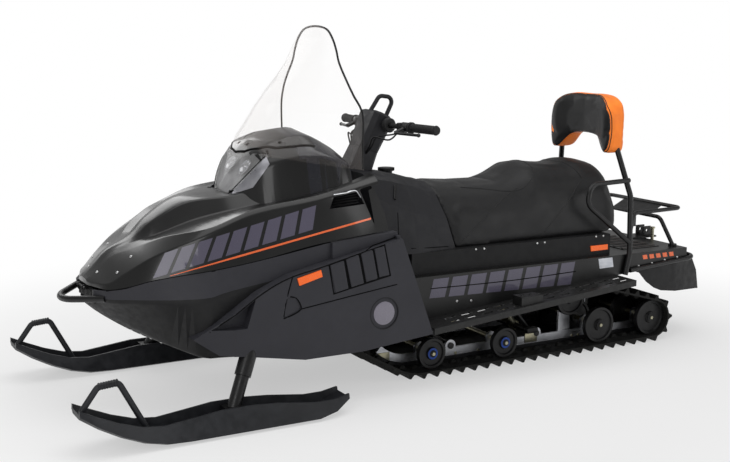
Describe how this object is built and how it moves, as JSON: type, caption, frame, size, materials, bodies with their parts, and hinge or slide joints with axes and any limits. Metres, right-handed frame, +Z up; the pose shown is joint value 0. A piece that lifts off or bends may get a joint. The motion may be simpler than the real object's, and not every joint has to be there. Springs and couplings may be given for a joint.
{
  "type": "snowmobile",
  "caption": "Wide-track utility snowmobile with steered skis, a hinged hood with a tall windshield, a lugged belt on a slide rail skid, a long seat, a backrest and a rear rack.",
  "frame": {"origin": "on the ground, midway between the ski tips and the tip of the snow flap, on the centre line", "axes": "+X to the nose, +Y to the rider's left, +Z up"},
  "size_m": [3.066, 1.152, 1.441],
  "materials": {
    "track_rubber": "matte moulded rubber",
    "wheel_black": "satin rubber tyres on dark rims",
    "bare_aluminium": "milled, satin",
    "slider_plastic": "smooth low-friction plastic",
    "zinc_steel": "zinc plated steel",
    "black_steel": "satin black powder coat",
    "tunnel_paint": "satin black paint on folded sheet",
    "board_sheet": "dark perforated sheet",
    "charcoal_plastic": "fine textured moulded plastic",
    "gloss_black": "gloss black moulded plastic",
    "lamp_lens": "clear moulded lens",
    "reflector": "bright lamp bowls",
    "screen": "clear polycarbonate with a black trim",
    "engine_alloy": "cast alloy block",
    "seat_vinyl": "black vinyl",
    "backrest_vinyl": "black and orange vinyl",
    "grip_rubber": "matte rubber",
    "ski_plastic": "smooth black moulded plastic"
  },
  "bodies": {
    "chassis": {"track_belt": "track_rubber", "small_wheels": "wheel_black", "large_wheels": "wheel_black", "drive_sprockets": "slider_plastic", "slide_rails": "bare_aluminium", "rail_sliders": "slider_plastic", "wheel_axles": "zinc_steel", "front_arm": "black_steel", "rear_arm": "black_steel", "dampers": "zinc_steel", "tunnel": "tunnel_paint", "left_running_board": "board_sheet", "right_running_board": "board_sheet", "belly_pan": "charcoal_plastic", "strut_sleeves": "black_steel", "front_subframe": "black_steel", "left_side_panel": "charcoal_plastic", "right_side_panel": "charcoal_plastic", "engine_block": "engine_alloy", "nose_grille": "black_steel", "front_bumper": "black_steel", "seat_cushion": "seat_vinyl", "seat_base": "charcoal_plastic", "fuel_cap": "charcoal_plastic", "console_cover": "charcoal_plastic", "fuel_tank": "charcoal_plastic", "backrest_frame": "black_steel", "backrest_pad": "backrest_vinyl", "grab_handles": "black_steel", "rear_rack": "black_steel", "rear_bumper": "black_steel", "snow_flap": "grip_rubber", "tow_hitch": "zinc_steel"},
    "hood": {"hood_shell": "gloss_black", "headlight_lens": "lamp_lens", "headlight_housing": "reflector", "windshield": "screen"},
    "steering": {"handlebar": "black_steel", "handlebar_pad": "charcoal_plastic", "grips": "grip_rubber", "hand_levers": "charcoal_plastic"},
    "left_ski_leg": {"left_ski": "ski_plastic", "left_spindle": "black_steel"},
    "right_ski_leg": {"right_ski": "ski_plastic", "right_spindle": "black_steel"}
  },
  "joints": [
    {"name": "handlebar_steer", "type": "hinge", "parent": "chassis", "child": "steering", "pos_m": [0.192, 0, 0.871], "axis": [-0.4226, 0, 0.9063], "range_deg": [-32, 32]},
    {"name": "left_ski_steer", "type": "hinge", "parent": "chassis", "child": "left_ski_leg", "pos_m": [0.96, 0.48, 0.061], "axis": [-0.416, -0.2704, 0.8682], "range_deg": [-29, 29]},
    {"name": "right_ski_steer", "type": "hinge", "parent": "chassis", "child": "right_ski_leg", "pos_m": [0.96, -0.48, 0.061], "axis": [-0.416, 0.2704, 0.8682], "range_deg": [-29, 29]},
    {"name": "hood_tilt", "type": "hinge", "parent": "chassis", "child": "hood", "pos_m": [1.366, 0, 0.476], "axis": [0, 1, 0], "range_deg": [0, 60]}
  ],
  "couplings": [
    {"joint": "left_ski_steer", "follows": "handlebar_steer", "ratio": 0.9},
    {"joint": "right_ski_steer", "follows": "handlebar_steer", "ratio": 0.9}
  ]
}
